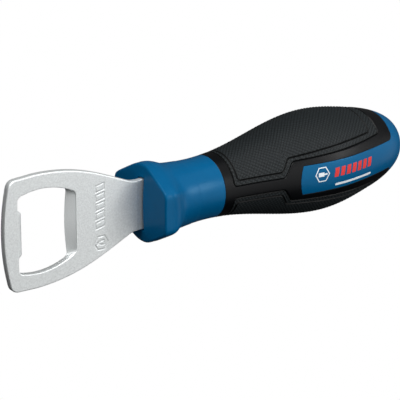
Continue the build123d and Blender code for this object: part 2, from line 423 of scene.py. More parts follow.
class Skin:
    """The handle's turned skin behind the bolster, as a smooth curve of x and
    radius through its stations, with the direction that points out of it."""

    def __init__(self, sizes):
        length = sizes.length / MM
        stations = [
            (BOLSTER_LENGTH - 1, BOLSTER_FOOT_RADIUS), (WAIST_X, sizes.waist_radius / MM),
            SWELL, (BELLY_X, sizes.belly_radius / MM),
        ]
        stations += [(length - back, radius) for back, radius in (RUMP, CAP_TURN, CAP_CORNER)]
        stations.append((length, 0.0))
        curve = clamped_curve(stations, SKIN_START, (0, -1), SKIN_POINTS)
        self.x = np.maximum.accumulate(curve[:, 0])
        self.radius = np.clip(curve[:, 1], 0, None)
        self.reached = running_length(curve)
        slope = np.gradient(curve, axis=0)
        slope /= np.linalg.norm(slope, axis=1)[:, None]
        self.out_x = -slope[:, 1]
        self.out_radius = slope[:, 0]

    def length_at(self, x):
        """Length along the skin at x."""
        return np.interp(x, self.x, self.reached)

    def radius_at(self, x):
        """Radius of the skin at x."""
        return np.interp(x, self.x, self.radius)

    def angle_at(self, x, y):
        """Angle from +z at which the skin has the height y."""
        return np.arcsin(np.clip(y / self.radius_at(x), -1, 1))

    def point(self, reached, angle, lift=0.0):
        """Places on the skin, moved out of it by lift: x from the length along the
        skin, y = radius sin(angle), z = radius cos(angle)."""
        reached, angle, lift = np.broadcast_arrays(reached, angle, lift)
        x, radius, out_x, out_radius = (
            np.interp(reached, self.reached, column)
            for column in (self.x, self.radius, self.out_x, self.out_radius)
        )
        radius = np.clip(radius + lift * out_radius, 0, None)
        return np.stack([x + lift * out_x, radius * np.sin(angle), radius * np.cos(angle)], axis=-1)


TONGUE_FRONT = 59.4
TONGUE_BULGE = 1.4
TONGUE_FRONT_HALF = 5.4
TONGUE_REAR_HALF = 7.3
TONGUE_CORNER = 2.4
PAD_CORNER = 1.2
PAD_OUTLINE = ((0.0, 2.2), (53.2, 2.2), (56.9, 7.5), (120.0, 10.05))
PAD_LINE = (
    (0.0, 4.0), (34.6, 4.1), (52.5, 4.3), (55.6, 8.75), (64.0, 9.4), (72.0, 10.05),
    (81.5, 10.6), (91.0, 10.8), (120.0, 10.8),
)
PAD_LINE_FRONT = 34.6
PAD_LINE_REAR = 95.6
PAD_BEND = 2.0
BORDER_STEP = 0.05
BORDER_END_POINTS = 600
CAP_POINTS = 400


def corner_rise(into, radius):
    """How far a rounded corner has turned away at a depth into it."""
    u = np.clip(into / radius, 0, 1)
    return radius * (1 - np.sqrt(1 - u**2))


def half_at(x, line, front, rear):
    """Distance of a line from the middle line at x: the line of (x, y) corners with
    its bends rounded, turned away by the pad's corner at the front and the rear."""
    line = softened(np.array(line, float), PAD_BEND, False)
    corners = corner_rise(front + PAD_CORNER - x, PAD_CORNER)
    corners += corner_rise(x - (rear - PAD_CORNER), PAD_CORNER)
    return np.interp(x, line[:, 0], line[:, 1]) + corners


def tongue_half(x, rear):
    """Half width of the tongue at x: an arched front, sides that widen evenly to
    the rear, and a rounded corner where it runs into the end cap."""
    nose = TONGUE_FRONT_HALF * np.sqrt(np.clip((x - TONGUE_FRONT) / TONGUE_BULGE, 0, 1))
    run = (x - TONGUE_FRONT - TONGUE_BULGE) / (rear - TONGUE_FRONT - TONGUE_BULGE)
    side = TONGUE_FRONT_HALF + (TONGUE_REAR_HALF - TONGUE_FRONT_HALF) * run
    return np.minimum(nose, side) + corner_rise(x - (rear - TONGUE_CORNER), TONGUE_CORNER)


def pad_half(x, front, rear):
    """Distance of the pad's edge from the middle line at x."""
    return half_at(x, PAD_OUTLINE, front, rear)


def pad_line_half(x):
    """Distance of the groove inside the pad from the middle line at x."""
    return half_at(x, PAD_LINE, PAD_LINE_FRONT, PAD_LINE_REAR)


def pad_border(skin, front, rear, half):
    """Closely spaced points round a quarter of a pad: its side, whose half width is
    given, and its front and rear lines out to the quarter's end."""
    x = np.arange(front, rear, BORDER_STEP)
    border = [skin.point(skin.length_at(x), skin.angle_at(x, half(x)))]
    for end in (front, rear):
        turn = np.linspace(skin.angle_at(end, half(end)), QUARTER, BORDER_END_POINTS)
        border.append(skin.point(skin.length_at(end), turn))
    return np.concatenate(border)


def tongue_nose():
    """Places along the tongue's arched front, closer together at its very front."""
    return TONGUE_FRONT + TONGUE_BULGE * np.linspace(0, 1, 15) ** 2


def tongue_border(skin, rear):
    """Points along the tongue's edge in one quarter, and on round the end cap's front."""
    sides = np.arange(TONGUE_FRONT + TONGUE_BULGE, rear, BORDER_STEP)
    x = np.concatenate([tongue_nose(), sides])
    side = skin.point(skin.length_at(x), skin.angle_at(x, tongue_half(x, rear)))
    start = skin.angle_at(rear, tongue_half(rear, rear))
    cap = skin.point(skin.length_at(rear), np.linspace(start, QUARTER, CAP_POINTS))
    return np.concatenate([side, cap])


def all_round(quarter, turned=True):
    """Values of one quarter carried round to all four, each mirrored in the last.
    With turned they are angles, otherwise plain values."""
    back = quarter[:, -2::-1]
    if turned:
        return np.concatenate(
            [quarter, math.pi - back, math.pi + quarter, 2 * math.pi - back], axis=1
        )
    return np.concatenate([quarter, back, quarter, back], axis=1)


def cells_round(cells, joint):
    """Marks of a quarter's columns of cells carried round to all four, with the mark
    of the one column of cells that joins the second quarter to the third."""
    return np.concatenate([cells, cells[::-1], [joint], cells, cells[::-1]])


def turned_shell(skin, reached, quarter, lift, wall, kept):
    """Closed shell from one quarter of its grid, carried round to all four: the
    lifted skin outside and the skin sunk by the wall inside, on the kept cells."""
    angle, lift = all_round(quarter), all_round(lift, False)
    outer = skin.point(reached, angle, lift).reshape(-1, 3)
    inner = skin.point(reached, angle, -wall).reshape(-1, 3)
    return walled(outer, inner, grid_quads(*angle.shape, kept))


def sleeve_shell(sizes):
    """Smooth soft grip: the skin between the tongue's edge and the pads, and all
    round in front of them and behind them, with V-grooves at the pads' edges."""
    skin = Skin(sizes)
    front, rear = sizes.sleeve_front / MM, sizes.sleeve_rear / MM
    pad_front, pad_rear = sizes.pad_front / MM, sizes.pad_rear / MM
    nose = tongue_nose()
    x = joined(
        graded(front, pad_front, *ALONG_GRIP),
        graded(pad_front, nose[0], *ALONG_GRIP),
        nose,
        graded(nose[-1], pad_rear, *ALONG_GRIP),
        graded(pad_rear, rear, *ALONG_GRIP),
    )
    tongue = skin.angle_at(x, tongue_half(x, rear))[:, None]
    held = np.clip(x, pad_front, pad_rear)
    edge = skin.angle_at(x, pad_half(held, pad_front, pad_rear))[:, None]
    near, far = graded(0, 1, *ACROSS_RIM), graded(0, 1, *ACROSS_SIDE)
    quarter = np.concatenate(
        [tongue + (edge - tongue) * near, edge + (QUARTER - edge) * far[1:]], axis=1
    )
    reached = skin.length_at(x)[:, None]
    flat = skin.point(reached, quarter)
    to_pad = distance_to(
        flat,
        pad_border(skin, pad_front, pad_rear, lambda at: pad_half(at, pad_front, pad_rear)),
    )
    to_core = distance_to(flat, tongue_border(skin, rear))
    to_core = np.minimum(to_core, (x - front)[:, None])
    lift = valley(to_pad, sizes.groove_depth / MM, sizes.groove_width / MM)
    lift = lift + valley(to_core, SEAM_DEPTH, SEAM_WIDTH)
    in_side = np.arange(quarter.shape[1] - 1) >= len(near) - 1
    in_pad = (x[:-1] >= pad_front - TINY) & (x[1:] <= pad_rear + TINY)
    kept = ~(in_pad[:, None] & cells_round(in_side, False))
    kept &= ~cells_round(np.zeros_like(in_side), True)
    return turned_shell(skin, reached, quarter, lift, sizes.sleeve_wall / MM, kept)


TEXTURE_STEEPNESS = 1.5
TEXTURE_SINK = 0.04
TEXTURE_FADE = 0.2
LINE_CLEARANCE = 0.02
LID_STRIDE = 6


def texture_height(reached, across, pitch):
    """Texture of crossing grooves at 45 degrees: 0 in a groove and 1 on the flat top
    of a point, as the steepness times the smaller |sin| of the diagonal coordinates."""
    first = np.abs(np.sin(np.pi * (reached + across) / pitch))
    second = np.abs(np.sin(np.pi * (reached - across) / pitch))
    return np.clip(TEXTURE_STEEPNESS * np.minimum(first, second), 0, 1)


def pad_slab(sizes, side):
    """Textured pad on one side: the skin from its upper edge round to its lower
    edge, with a groove set in from its border and fine crossing grooves all over."""
    skin = Skin(sizes)
    front, rear = sizes.pad_front / MM, sizes.pad_rear / MM
    x = joined(
        graded(front, PAD_LINE_FRONT, *ALONG_PAD_FRONT, LID_STRIDE),
        graded(PAD_LINE_FRONT, PAD_LINE_REAR, *ALONG_PAD, LID_STRIDE),
        graded(PAD_LINE_REAR, rear, *ALONG_PAD, LID_STRIDE),
    )
    edge = skin.angle_at(x, pad_half(x, front, rear))[:, None]
    held = np.clip(x, PAD_LINE_FRONT + PAD_CORNER, PAD_LINE_REAR - PAD_CORNER)
    line = skin.angle_at(x, pad_line_half(held))[:, None]
    line = np.maximum(line, edge + LINE_CLEARANCE)
    near = graded(0, 1, *ACROSS_PAD_RIM, LID_STRIDE)
    far = graded(0, 1, *ACROSS_PAD, LID_STRIDE)
    quarter = np.concatenate(
        [edge + (line - edge) * near, line + (QUARTER - line) * far[1:]], axis=1
    )
    reached = skin.length_at(x)[:, None]
    flat = skin.point(reached, quarter)
    to_edge = distance_to(
        flat, pad_border(skin, front, rear, lambda at: pad_half(at, front, rear))
    )
    to_line = distance_to(
        flat, pad_border(skin, PAD_LINE_FRONT, PAD_LINE_REAR, pad_line_half)
    )
    across = skin.radius_at(x)[:, None] * (QUARTER - quarter)
    depth, width = sizes.groove_depth / MM, sizes.groove_width / MM
    clear = np.clip((np.minimum(to_edge, to_line) - width / 2) / TEXTURE_FADE, 0, 1)
    crest = texture_height(reached, across, sizes.knurl_pitch / MM) * clear
    lift = valley(to_edge, depth, width) + valley(to_line, depth, width)
    lift = lift - TEXTURE_SINK - sizes.knurl_depth / MM * (clear - crest)
    angle = np.concatenate([quarter, math.pi - quarter[:, -2::-1]], axis=1)
    lift, crest = (np.concatenate([part, part[:, -2::-1]], axis=1) for part in (lift, crest))
    outer = skin.point(reached, angle, lift)
    inner = skin.point(reached, angle, -sizes.pad_wall / MM)
    if side < 0:
        outer, inner = (part[:, ::-1] * (1, -1, 1) for part in (outer, inner))
        crest = crest[:, ::-1]
    points, faces = lidded(outer, inner, LID_STRIDE)
    # the texture's height is kept as a mark, and the finish uses it to paint the points' tops lighter
    # as a painted highlight
    marks = np.zeros(len(points))
    marks[:crest.size] = crest.reshape(-1)
    return points, faces, marks


# the octagon's flats: angle from +z in degrees and distance from the axis
OCTAGON_FLATS = ((0.0, 15.2), (60.26, 13.79), (90.0, 14.4), (119.74, 13.79), (180.0, 15.2))
OCTAGON_ROUNDNESS = 22
FACE_CROWN = 1.0
CROWN_HALF = 14.4
BOLSTER_EDGE = 0.7
SHOULDER_BLEND = 0.35
SHOULDER_START = 3.4
SHOULDER_END = 10.6
SLOT_HALF_WIDTH = 9.7
SLOT_HALF_HEIGHT = 1.8
SLOT_MIDDLE = 0.25
SLOT_DEPTH = 2.5
SLOT_EDGE = 0.15
SLOT_ROUNDNESS = 14
BOLSTER_COLUMNS = 433
EDGE_TURNS = np.radians((15, 30, 45, 60, 75, 90))
SHOULDER_ROWS = 25
CORE_GAP = 0.05
CORE_END_GAP = 0.5
CORE_ROWS = 24


def octagon_radius(angle):
    """Radius of the bolster's rounded octagon: the p-norm of the ratios of the
    direction's share along each flat's normal to that flat's distance."""
    total = np.zeros_like(angle)
    for degrees, distance in OCTAGON_FLATS:
        for turn in {degrees, (360 - degrees) % 360}:
            share = np.clip(np.cos(angle - math.radians(turn)) / distance, 0, None)
            total += share**OCTAGON_ROUNDNESS
    return total ** (-1 / OCTAGON_ROUNDNESS)


def slot_edge(angle, grow=0.0):
    """Outline of the blade's slot in the front face: a rectangle with small round
    corners, as a superellipse about the slot's middle."""
    wide, high = SLOT_HALF_WIDTH + grow, SLOT_HALF_HEIGHT + grow
    share = (np.abs(np.sin(angle)) / wide) ** SLOT_ROUNDNESS
    share += (np.abs(np.cos(angle)) / high) ** SLOT_ROUNDNESS
    radius = share ** (-1 / SLOT_ROUNDNESS)
    return radius * np.sin(angle), SLOT_MIDDLE + radius * np.cos(angle)


def bolster_body(sizes):
    """Front of the core: one surface from the slot's floor over the crowned face,
    the octagonal sides, the shoulder and the waist to the grip's front edge, and on
    under the grip to the axis at the rear."""
    skin = Skin(sizes)
    front, rear = sizes.sleeve_front / MM, sizes.sleeve_rear / MM
    angle = np.linspace(0, 2 * math.pi, BOLSTER_COLUMNS)
    sine, cosine = np.sin(angle), np.cos(angle)
    ones = np.ones_like(angle)
    octagon = octagon_radius(angle)
    slot_y, slot_z = slot_edge(angle)
    lip_y, lip_z = slot_edge(angle, SLOT_EDGE)

    def crown(y):
        return FACE_CROWN * (y / CROWN_HALF) ** 2

    rows = []

    def add(x, y, z):
        rows.append(np.stack([x * ones, y * ones, z * ones], axis=-1))

    for share in (0.0, 0.5, 0.9):
        add(SLOT_DEPTH, share * slot_y, SLOT_MIDDLE + share * (slot_z - SLOT_MIDDLE))
    for share in (0.0, 0.5, 1.0):
        top = crown(slot_y) + SLOT_EDGE
        add(SLOT_DEPTH + share * (top - SLOT_DEPTH), slot_y, slot_z)
    rim = octagon - BOLSTER_EDGE
    for share in graded(0, 1, *ACROSS_RIM):
        y = lip_y + share * (rim * sine - lip_y)
        add(crown(y), y, lip_z + share * (rim * cosine - lip_z))
    edge_x = crown(octagon * sine)
    for turn in EDGE_TURNS:
        radius = rim + BOLSTER_EDGE * math.sin(turn)
        add(edge_x + BOLSTER_EDGE * (1 - math.cos(turn)), radius * sine, radius * cosine)
    side_x = edge_x + BOLSTER_EDGE
    for share in (0.33, 0.67, 1.0):
        add(side_x + share * (SHOULDER_START - side_x), octagon * sine, octagon * cosine)
    # the octagon falls to the waist as a cosine, whose foot a hyperbola levels off
    shoulder = np.linspace(SHOULDER_START, BOLSTER_LENGTH, SHOULDER_ROWS)
    for x in joined(shoulder, graded(BOLSTER_LENGTH, front, *ALONG_WAIST))[1:]:
        share = (x - SHOULDER_START) / (SHOULDER_END - SHOULDER_START)
        fall = math.cos(QUARTER * min(share, 2))
        fall = (fall + math.hypot(fall, SHOULDER_BLEND)) / 2
        waist = skin.radius_at(max(x, BOLSTER_LENGTH))
        waist += valley(front - x, SEAM_DEPTH, SEAM_WIDTH)
        radius = waist + (octagon - waist) * fall * (share < 2)
        add(x, radius * sine, radius * cosine)
    hidden = sizes.sleeve_wall / MM + CORE_GAP
    for x in np.linspace(front, rear - CORE_END_GAP, CORE_ROWS):
        radius = skin.radius_at(x) - hidden
        add(x, radius * sine, radius * cosine)
    add(rear - CORE_END_GAP, 0.0, 0.0)
    grid = np.stack(rows)
    return grid.reshape(-1, 3), grid_quads(*grid.shape[:2])


def tongue_and_cap(sizes):
    """Rear of the core as a closed shell: the two tongues that show in the grip and
    the end cap that joins them, closed at the pole."""
    skin = Skin(sizes)
    rear = sizes.sleeve_rear / MM
    cap_start = skin.length_at(rear)
    x = joined(tongue_nose(), graded(TONGUE_FRONT + TONGUE_BULGE, rear, *ALONG_TONGUE))
    cap = graded(cap_start, skin.reached[-1], *ALONG_GRIP)[1:]
    reached = np.concatenate([skin.length_at(x), cap])[:, None]
    held = np.concatenate([skin.angle_at(x, tongue_half(x, rear)), np.zeros(len(cap))])
    held[len(x):] = held[len(x) - 1]
    near, far = graded(0, 1, *ACROSS_TONGUE), graded(0, 1, *ACROSS_SIDE)
    # a quarter from +z: across the tongue to its edge, then on to the meridian
    edge = held[:, None]
    quarter = np.concatenate([edge * near, edge + (QUARTER - edge) * far[1:]], axis=1)
    border = tongue_border(skin, rear)
    lift = valley(distance_to(skin.point(reached, quarter), border), SEAM_DEPTH, SEAM_WIDTH)
    in_side = np.arange(quarter.shape[1] - 1) >= len(near) - 1
    in_grip = np.arange(len(reached) - 1) < len(x) - 1
    kept = ~(in_grip[:, None] & cells_round(in_side, True))
    return turned_shell(skin, reached, quarter, lift, sizes.sleeve_wall / MM, kept)


# ---------------------------------------------------------------- blade


TIP_SETBACK = 2.6
TIP_CORNER_HALF = 19.5
TIP_ROUNDING = 5.0
WIDEST_FROM_TIP = 12.0
FLANK_STATIONS = ((-24.7, 17.5), (-6.4, 10.3), (-2.4, 9.15))
NECK_HALF = 9.15
WINDOW_RIM = 5.4
WINDOW_SIDE = ((0.0, 13.3), (7.6, 14.7), (22.6, 10.8))
WINDOW_BACK_LENGTH = 20.2
WINDOW_FRONT_LENGTH = 22.6
WINDOW_ROUNDING = 3.2
WINDOW_BACK_BOW = 0.9
SEAM_X = -24.0
STAMPED_FROM = -20.6
STAMPED_TO = -13.6
RELIEF_X = -1.8
RELIEF_MARGIN = 0.3
RELIEF_RUN = 0.25
RELIEF_THICKNESS = 2.1
TANG_STEP_X = 6.0
TANG_STEP_RUN = 0.5
TANG_HALF = 7.0
TANG_END = 62.0
LIP_REACH = 2.15
LIP_HALF = 9.4
LIP_TAPER = 2.2
LIP_THICKNESS = 1.3
LIP_ROUNDING = 0.7
LIP_FOOT = 0.2
LIP_ROOT = 1.0

# numbers of points along the blade's lines
FLANK_POINTS = 2000
TIP_POINTS = 401
HEAD_SIDE_POINTS = 300
WINDOW_SIDE_POINTS = 200
WINDOW_END_POINTS = 60
# numbers of columns round the head: shank, long side, tip
BLADE_COLUMNS = 96
SIDE_COLUMNS = 71
TIP_COLUMNS = 41
# numbers of rows in the shank's stretches from seam to tang end, densest at the stamp
SHANK_ROWS = (8, 47, 16, 2, 4, 8, 2, 8)
LIP_END_ROWS = 8
LIP_MIDDLE_ROWS = 24
LIP_TURNS = np.linspace(0, QUARTER, 6)
ACROSS_RING = (0.12, 0.03, 0.2)
ROUND_TURNS = np.radians((22.5, 45.0, 67.5, 90.0))


def outward(line):
    """A line with its left-hand-outside normals added: (x, y, normal x, normal y)."""
    slope = np.gradient(line, axis=0)
    slope /= np.linalg.norm(slope, axis=1)[:, None]
    return np.column_stack([line, slope[:, 1], -slope[:, 0]])


def flank_line(sizes):
    """Half width of the blade from its widest place to the neck, as (x, y) points."""
    widest = (WIDEST_FROM_TIP - sizes.reach / MM, sizes.half_width / MM)
    return clamped_curve((widest,) + FLANK_STATIONS, (1, 0), (1, 0), FLANK_POINTS)


def outer_line(sizes):
    """Blade edge on the +y side, from the seam with the shank round the tip's
    corner to the middle of the tip: (x, y, normal x, normal y), and the fraction of
    its length at the corner. Beside the window the normal has only its y part, long
    enough to give the true offset, so that rounded edges meet the shank's."""
    reach = sizes.reach / MM
    flank = flank_line(sizes)
    widest = flank[0]
    y = np.linspace(-TIP_CORNER_HALF, TIP_CORNER_HALF, TIP_POINTS)
    tip = np.column_stack([TIP_SETBACK * (y / TIP_CORNER_HALF) ** 2 - reach, y])
    tip = np.concatenate([[widest * (1, -1)], tip, [widest]])
    tip = softened(tip, TIP_ROUNDING, False)
    tip = outward(tip[::-1][: len(tip) // 2 + 1])
    x = np.linspace(SEAM_X, widest[0], HEAD_SIDE_POINTS)
    half = np.interp(x, flank[:, 0], flank[:, 1])
    stretch = np.sqrt(1 + np.gradient(half, x) ** 2)
    side = np.column_stack([x, half, np.zeros_like(x), stretch])
    line = np.concatenate([side[:-1], tip])
    corner = np.array((TIP_SETBACK - reach, TIP_CORNER_HALF))
    nearest = np.argmin(np.linalg.norm(line[:, :2] - corner, axis=1))
    reached = running_length(line)
    return line, reached[nearest] / reached[-1]


def window_line(sizes, length, bow):
    """Window edge on the +y side in three runs: handle side, which bows towards the
    tip in its middle, long side and tip side, each (x, y, normal x, normal y) with
    the normal pointing into the window."""
    start = WINDOW_RIM - sizes.reach / MM
    arch = np.polyfit(*np.array(WINDOW_SIDE).T, 2)
    run = np.linspace(length, 0, WINDOW_SIDE_POINTS)
    side = np.column_stack([start + run, np.polyval(arch, run)])
    rising = np.linspace(0, 1, WINDOW_END_POINTS)[:-1]
    handle = np.column_stack([side[0, 0] - bow * (1 - rising**2), side[0, 1] * rising])
    half = np.concatenate([handle, side, [(start, 0)]])
    whole = np.concatenate([half, half[-2::-1] * (1, -1)])
    soft = softened(whole, WINDOW_ROUNDING, True)
    line = outward(soft)
    line[:, 2:] *= -1
    line[0, 2:] = line[-1, 2:] = (-1, 0)
    first = np.argmin(np.linalg.norm(soft - side[0], axis=1))
    second = np.argmin(np.linalg.norm(soft - side[-1], axis=1))
    middle = len(soft) // 2
    return line[:first + 1], line[first:second + 1], line[second:middle + 1]


def mirrored_loop(half):
    """A half loop and its mirror image in y, end to end, back to its start."""
    return np.concatenate([half, half[-2::-1] * (1, -1, 1, -1)])


def blade_head(sizes, columns):
    """Head of the blade: a ring round the window. Along the ring run the edge of the
    window and the edge of the blade (or the seam with the shank); across it run the
    front face, the rounded outer edge, the back face and the window's rounded wall."""
    edge, inner_edge = sizes.edge_radius / MM, sizes.window_edge / MM
    front_z = (sizes.middle + sizes.thickness / 2) / MM
    back_z = (sizes.middle - sizes.thickness / 2) / MM
    line, corner = outer_line(sizes)
    seam = np.zeros((len(columns) - 1, 4))
    seam[:, 0] = SEAM_X
    seam[:, 1] = columns[:-1] * (line[0, 1] - edge * line[0, 3])
    sides, ends = np.linspace(0, 1, SIDE_COLUMNS), np.linspace(0, 1, TIP_COLUMNS)
    outer = mirrored_loop(np.concatenate([
        seam, along(line, sides * corner), along(line, corner + ends[1:] * (1 - corner)),
    ]))

    def window(length, bow):
        handle, long_side, tip = window_line(sizes, length, bow)
        return mirrored_loop(np.concatenate([
            along(handle, columns[:-1]), along(long_side, sides), along(tip, ends[1:]),
        ]))

    front, back = window(WINDOW_FRONT_LENGTH, 0), window(WINDOW_BACK_LENGTH, WINDOW_BACK_BOW)
    rows, worn = [], []

    def add(place, z, mark):
        rows.append(np.column_stack([place, np.full(len(place), z)]))
        worn.append(np.full(len(place), mark))

    def moved(loop, back_off):
        return loop[:, :2] - back_off * loop[:, 2:]

    def add_flat(loop, z, shares):
        for share in shares:
            add((1 - share) * moved(loop, inner_edge) + share * moved(outer, edge), z, 0)

    def add_round(loop, z, radius, turns):
        for turn in turns:
            add(moved(loop, abs(radius) * (1 - math.sin(turn))), z + radius * (1 - math.cos(turn)), 1)

    shares = graded(0, 1, *ACROSS_RING)
    add_flat(front, front_z, shares)
    add_round(outer, front_z, -edge, ROUND_TURNS)
    add_round(outer, back_z, edge, ROUND_TURNS[::-1])
    add_flat(back, back_z, shares[::-1])
    add_round(back, back_z, inner_edge, ROUND_TURNS)
    add_round(front, front_z, -inner_edge, ROUND_TURNS[::-1])
    rows.append(rows[0])
    worn.append(worn[0])
    grid = np.stack(rows)
    around = grid.shape[1]
    in_wall = np.zeros(len(rows) - 1, bool)
    in_wall[len(shares) - 1:len(shares) + 2 * len(ROUND_TURNS)] = True
    at_seam = np.zeros(around - 1, bool)
    at_seam[:len(columns) - 1] = True
    at_seam[-(len(columns) - 1):] = True
    kept = ~(in_wall[:, None] & at_seam)
    return grid.reshape(-1, 3), grid_quads(len(rows), around, kept), np.stack(worn).reshape(-1)


def stroke_distance(x, y, strokes):
    """Distance from each place to the nearest of the straight strokes (x0, y0, x1, y1)."""
    nearest = np.full(x.shape, np.inf)
    for x0, y0, x1, y1 in strokes:
        run_x, run_y = x1 - x0, y1 - y0
        share = ((x - x0) * run_x + (y - y0) * run_y) / (run_x**2 + run_y**2)
        share = np.clip(share, 0, 1)
        nearest = np.minimum(nearest, np.hypot(x - x0 - share * run_x, y - y0 - share * run_y))
    return nearest


STAMP_BADGE = (-17.0, -9.9)
STAMP_BADGE_RADIUS = 2.75
STAMP_ROW_START = -4.6
STAMP_PITCH = 3.3
STAMP_COUNT = 5
STAMP_WIDTH = 2.2
STAMP_SLANT = 0.7
STAMP_LOW = -19.0
STAMP_HIGH = -15.6
STAMP_STROKE = 0.32
STAMP_STEEPNESS = 1.6


# half of the stamped bottle's outline, from its foot to its mouth
STAMP_BOTTLE = np.array(((1.3, -0.75), (-0.1, -0.75), (-0.7, -0.25), (-1.5, -0.25)))


def stamp_strokes():
    """Strokes of the stamped marks: a row of slanting bars in outline, and a
    six-sided ring round a simple bottle."""
    outlines = []
    for index in range(STAMP_COUNT):
        y = STAMP_ROW_START + index * STAMP_PITCH
        far = y + STAMP_SLANT
        outlines.append((
            (STAMP_LOW, y), (STAMP_LOW, y + STAMP_WIDTH),
            (STAMP_HIGH, far + STAMP_WIDTH), (STAMP_HIGH, far), (STAMP_LOW, y),
        ))
    turns = np.radians(np.arange(0, 361, 60))
    ring = STAMP_BADGE_RADIUS * np.column_stack([np.cos(turns), np.sin(turns)])
    bottle = np.concatenate([STAMP_BOTTLE, STAMP_BOTTLE[::-1] * (1, -1), STAMP_BOTTLE[:1]])
    outlines += [ring + STAMP_BADGE, bottle + STAMP_BADGE]
    return [(*line[k], *line[k + 1]) for line in outlines for k in range(len(line) - 1)]


def blade_shank(sizes, columns):
    """Shank, neck and tang: a flat closed section carried along x, with rounded
    edges, coined thinner where it enters the handle, and stamped on its front."""
    edge = sizes.edge_radius / MM
    middle, thick = sizes.middle / MM, sizes.thickness / MM
    flank = flank_line(sizes)
    stops = (
        SEAM_X, STAMPED_FROM, STAMPED_TO, RELIEF_X - RELIEF_MARGIN, RELIEF_X,
        RELIEF_X + RELIEF_RUN, TANG_STEP_X, TANG_STEP_X + TANG_STEP_RUN, TANG_END,
    )
    x = joined(*(np.linspace(*span) for span in zip(stops[:-1], stops[1:], SHANK_ROWS)))
    half = np.interp(x, flank[:, 0], flank[:, 1], right=NECK_HALF)
    slope = np.gradient(flank[:, 1], flank[:, 0])
    stretch = np.sqrt(1 + np.interp(x, flank[:, 0], slope, right=0) ** 2)[:, None]
    half = np.where(x > TANG_STEP_X + TANG_STEP_RUN / 2, TANG_HALF, half)[:, None]
    coined = np.clip((x - RELIEF_X) / RELIEF_RUN, 0, 1)
    depth = (thick - (thick - RELIEF_THICKNESS) * coined)[:, None]
    front_z, back_z = middle + depth / 2, middle - depth / 2
    across = np.concatenate([-columns[::-1], columns[1:]])
    flat = across * (half - edge * stretch)
    stamp = stroke_distance(x[:, None] * np.ones_like(flat), flat, stamp_strokes())
    pressed = np.clip(STAMP_STEEPNESS - stamp / STAMP_STROKE * STAMP_STEEPNESS, 0, 1)
    pressed *= sizes.stamp_depth / MM
    turns = np.concatenate([ROUND_TURNS, ROUND_TURNS[::-1]])
    inset = edge * (1 - np.sin(turns)) * stretch
    drop = edge * (1 - np.cos(ROUND_TURNS))
    side_z = np.concatenate([front_z - drop, back_z + drop[::-1]], axis=1)
    y = np.concatenate(
        [flat, half - inset, flat[:, ::-1], inset[:, ::-1] - half, flat[:, :1]], axis=1
    )
    z = np.concatenate([
        front_z - pressed, side_z, back_z * np.ones_like(flat), side_z[:, ::-1],
        (front_z - pressed)[:, :1],
    ], axis=1)
    grid = np.stack([x[:, None] * np.ones_like(y), y, z], axis=-1)
    end = grid[-1].copy()
    end[:, 1:] = (0, middle)
    grid = np.concatenate([grid, end[None]])
    worn = np.zeros(grid.shape[:2])
    sides = len(turns)
    worn[:, len(across):len(across) + sides] = 1
    worn[:, 2 * len(across) + sides:2 * (len(across) + sides)] = 1
    return grid.reshape(-1, 3), grid_quads(*grid.shape[:2]), worn.reshape(-1)


def blade_lip(sizes):
    """Lip that hooks under the cap: a rounded section carried across the window's
    tip side at the back face, which runs out to nothing at both ends."""
    back = (sizes.middle - sizes.thickness / 2) / MM
    root = WINDOW_RIM - sizes.reach / MM
    full = LIP_HALF - LIP_TAPER
    y = joined(
        np.linspace(-LIP_HALF, -full, LIP_END_ROWS),
        np.linspace(-full, full, LIP_MIDDLE_ROWS),
        np.linspace(full, LIP_HALF, LIP_END_ROWS),
    )
    from_end = np.clip((LIP_HALF - np.abs(y)) / LIP_TAPER, 0, 1)
    reach = (LIP_REACH * from_end)[:, None]
    drop = LIP_ROUNDING * (1 - np.cos(LIP_TURNS))
    curl = np.minimum(2 * LIP_ROUNDING, reach) * (1 - np.sin(LIP_TURNS))
    foot = np.minimum(LIP_FOOT, reach) * (1 - np.sin(LIP_TURNS[::-1]))
    sunk = np.full_like(reach, root - LIP_ROOT)
    x = np.concatenate([sunk, root + reach - curl, root + reach - foot, sunk, sunk], axis=1)
    top = back + LIP_THICKNESS
    rise = LIP_FOOT * (1 - np.cos(LIP_TURNS[::-1]))
    z = np.concatenate([[top], top - drop, back + rise, [back], [top]])
    grid = np.stack([x, y[:, None] * np.ones_like(x), z * np.ones_like(x)], axis=-1)
    middle = (root - LIP_ROOT / 2, 0, back + LIP_THICKNESS / 2)
    first, last = (np.full_like(grid[:1], middle) for _ in range(2))
    first[..., 1], last[..., 1] = -LIP_HALF, LIP_HALF
    grid = np.concatenate([first, grid, last])
    quads = grid_quads(*grid.shape[:2])
    return grid.reshape(-1, 3), quads[:, ::-1], np.zeros(len(grid) * grid.shape[1])


# ---------------------------------------------------------------- printed marks


INK_RISE = 0.045
INK_SINK = 0.03
BADGE_MIDDLE = (68.2, 1.3)
BADGE_RADIUS = 3.1
BADGE_LINE = 0.42
BOTTLE_PARTS = ((-0.5, 2.4, 1.5), (1.35, 1.3, 0.55))
STRIPES_START = 73.7
STRIPES_COUNT = 7
STRIPE_WIDTH = 1.9
STRIPE_PITCH = 2.9
STRIPE_HEIGHT = 3.4
STRIPE_SLANT = 0.6
STRIPES_Y = 1.1
LINE_START = 74.2
LINE_LENGTH = 19.2
LINE_WIDTH = 0.85
LINE_Y = -3.6
PATCH_PLACES = np.linspace(-0.5, 0.5, 13)
RING_TURNS = np.linspace(0, 2 * math.pi, 97)
RING_ROWS = 4
BAR_TURNS = np.linspace(0, math.pi, 61)
BAR_ROWS = 7


def ink_patch(skin, x, y):
    """A grid of places seen from above, laid on the handle as a thin closed film."""
    angle = skin.angle_at(x, y)
    reached = skin.length_at(x)
    outer = skin.point(reached, angle, INK_RISE)
    inner = skin.point(reached, angle, -INK_SINK)
    return walled(outer.reshape(-1, 3), inner.reshape(-1, 3), grid_quads(*x.shape))


